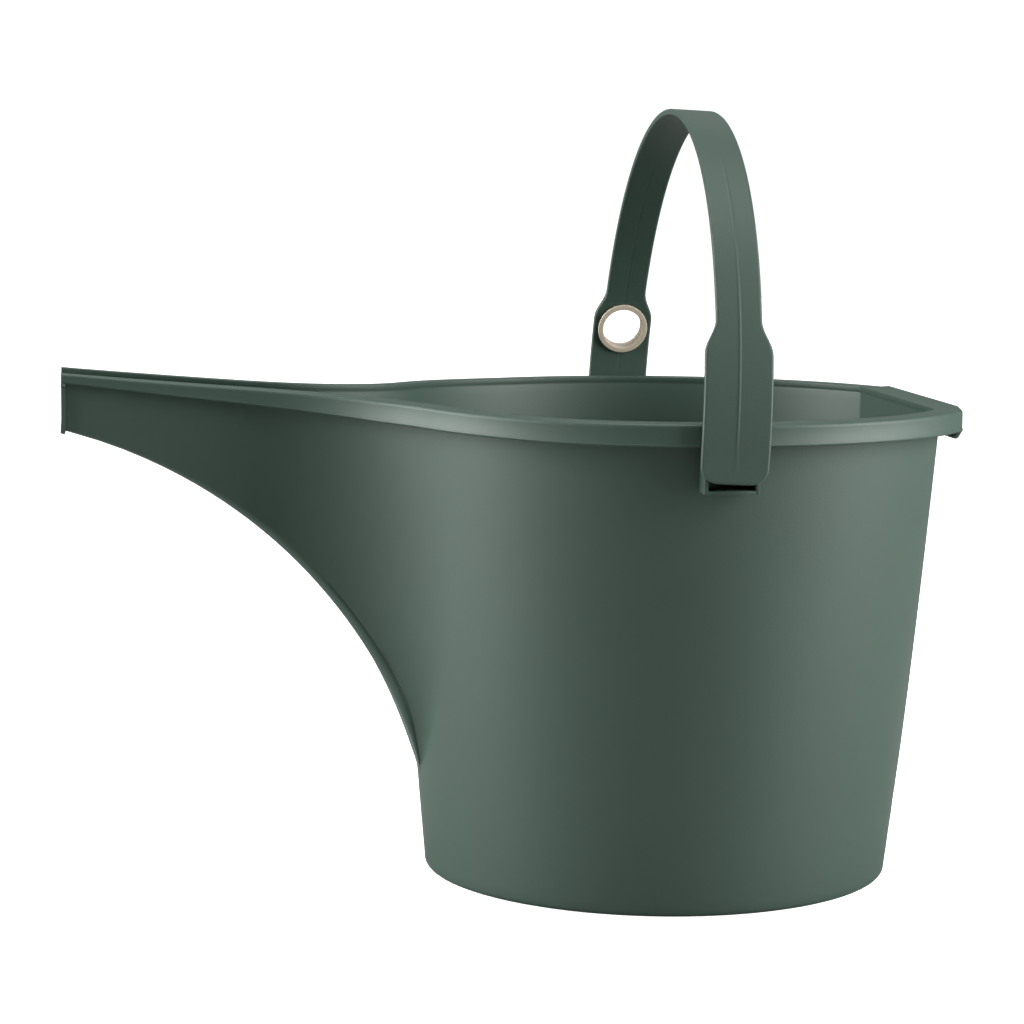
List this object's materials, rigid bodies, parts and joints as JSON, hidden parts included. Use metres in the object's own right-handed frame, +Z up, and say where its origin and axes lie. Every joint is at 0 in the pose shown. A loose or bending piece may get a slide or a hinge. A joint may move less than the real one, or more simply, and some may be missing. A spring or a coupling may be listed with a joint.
{
  "type": "pouring pail",
  "caption": "Plastic pouring pail with a flat back, a long open spout, a swinging strap handle and a hanging eyelet.",
  "frame": {"origin": "on the ground under the middle of the whole outline, spout and back edge included", "axes": "+Z up, spout towards -X, flat back towards +X, handle's pivot axis along Y"},
  "size_m": [0.439, 0.3167, 0.3853],
  "materials": {
    "pail_plastic": "fine satin grain, dark green polypropylene",
    "handle_plastic": "satin, dark green polypropylene",
    "eyelet_plastic": "smooth satin, warm beige"
  },
  "bodies": {
    "pail": {"pail_body": "pail_plastic"},
    "bail": {"handle": "handle_plastic", "eyelet_sleeve": "eyelet_plastic", "eyelet_snap_ring": "eyelet_plastic"}
  },
  "joints": [
    {"name": "handle_swing", "type": "hinge", "parent": "pail", "child": "bail", "pos_m": [0.0861, 0, 0.22], "axis": [0, 1, 0], "range_deg": [-79, 124]}
  ]
}
